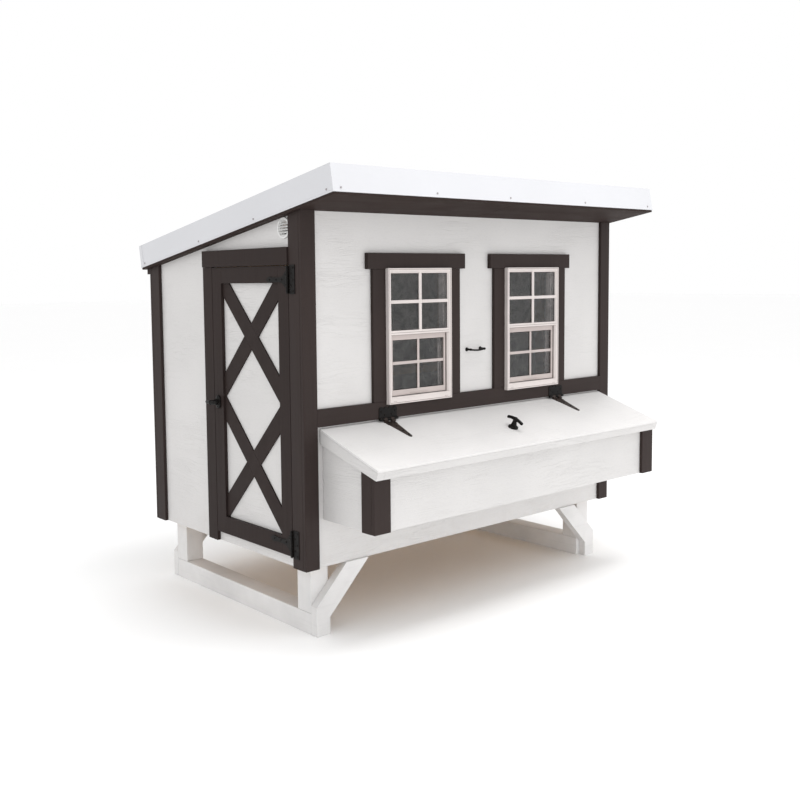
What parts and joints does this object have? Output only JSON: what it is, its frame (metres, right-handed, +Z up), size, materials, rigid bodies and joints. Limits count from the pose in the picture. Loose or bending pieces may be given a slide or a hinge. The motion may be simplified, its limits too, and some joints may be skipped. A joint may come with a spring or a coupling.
{
  "type": "chicken coop",
  "caption": "Raised lean-to chicken coop with walk-in door, sliding sash windows, hinged nest box lid, drop-down pop door and skid legs.",
  "frame": {"origin": "middle of the overall box, on the ground under the runners", "axes": "+Z up, -Y towards the nest box front, the keeper door on the -X end, X along the long side"},
  "size_m": [2.0538, 1.608, 1.8634],
  "materials": {
    "siding": "embossed siding, warm white paint, satin",
    "trim": "dark brown paint, satin",
    "leg_paint": "white paint over lumber",
    "framing": "planed softwood",
    "plywood": "plywood",
    "vinyl": "almond vinyl, satin",
    "glass": "clear glass",
    "hardware": "black powder coat, light wear",
    "roof_metal": "white coated sheet steel",
    "vent_plastic": "white moulded plastic"
  },
  "bodies": {
    "cabin": {"wall_front": "siding", "wall_back": "siding", "wall_left": "siding", "wall_right": "siding", "nest_box": "siding", "corner_trims": "trim", "belt_trim": "trim", "window_trims": "trim", "frieze_board": "trim", "door_casing": "trim", "pop_door_casing": "trim", "nest_corner_trims": "trim", "roof_soffit": "trim", "roof_rafters": "trim", "leg_runners": "leg_paint", "leg_posts": "leg_paint", "leg_braces": "leg_paint", "floor_frame": "framing", "frame_front": "framing", "frame_back": "framing", "frame_left": "framing", "frame_right": "framing", "roosts": "framing", "floor_panel": "plywood", "nest_dividers": "plywood", "roof_decking": "plywood", "window_frame_left": "vinyl", "window_frame_right": "vinyl", "upper_glass": "glass", "door_hinge_plates": "hardware", "lid_hinge_plates": "hardware", "pop_hinge_plates": "hardware", "hinge_pins": "hardware", "lid_keeper": "hardware", "wall_handle": "hardware", "roof_sheet": "roof_metal", "roof_fascia": "roof_metal", "fascia_screws": "roof_metal", "gable_vents": "vent_plastic"},
    "door": {"door_panel": "siding", "door_frame": "trim", "door_braces": "trim", "door_hinge_straps": "hardware", "door_latch_rose": "hardware"},
    "door_handle": {"door_t_handle": "hardware", "door_latch_cam": "hardware"},
    "lid": {"lid_top": "siding", "lid_frame": "siding", "lid_hinge_straps": "hardware", "lid_handle_rose": "hardware"},
    "lid_handle": {"lid_t_handle": "hardware", "lid_latch_tongue": "hardware"},
    "sash_l": {"sash_left": "vinyl", "sash_glass_left": "glass"},
    "sash_r": {"sash_right": "vinyl", "sash_glass_right": "glass"},
    "pop_door": {"pop_door_panel": "siding", "pop_door_frame": "trim", "pop_hinge_leaves": "hardware"},
    "pop_latch": {"pop_button": "hardware"}
  },
  "joints": [
    {"name": "door_swing", "type": "hinge", "parent": "cabin", "child": "door", "pos_m": [-0.98305, -0.37794, 0.908], "axis": [0, 0, 1], "range_deg": [0, 170]},
    {"name": "door_handle_turn", "type": "hinge", "parent": "door", "child": "door_handle", "pos_m": [-0.98745, 0.15446, 0.908], "axis": [1, 0, 0], "range_deg": [0, 90]},
    {"name": "lid_lift", "type": "hinge", "parent": "cabin", "child": "lid", "pos_m": [0.01995, -0.47004, 0.853], "axis": [-1, 0, 0], "range_deg": [0, 100]},
    {"name": "lid_handle_turn", "type": "hinge", "parent": "lid", "child": "lid_handle", "pos_m": [0.02895, -0.66054, 0.77499], "axis": [0, -0.3239, 0.9461], "range_deg": [0, 90]},
    {"name": "sash_left_lift", "type": "slide", "parent": "cabin", "child": "sash_l", "axis": [0, 0, 1], "range_m": [0, 0.24]},
    {"name": "sash_right_lift", "type": "slide", "parent": "cabin", "child": "sash_r", "axis": [0, 0, 1], "range_m": [0, 0.24]},
    {"name": "pop_door_drop", "type": "hinge", "parent": "cabin", "child": "pop_door", "pos_m": [1.00695, 0.45246, 0.343], "axis": [0, 1, 0], "range_deg": [0, 148]},
    {"name": "pop_button_turn", "type": "hinge", "parent": "cabin", "child": "pop_latch", "pos_m": [1.00095, 0.45246, 0.761], "axis": [1, 0, 0], "range_deg": [0, 90]}
  ]
}
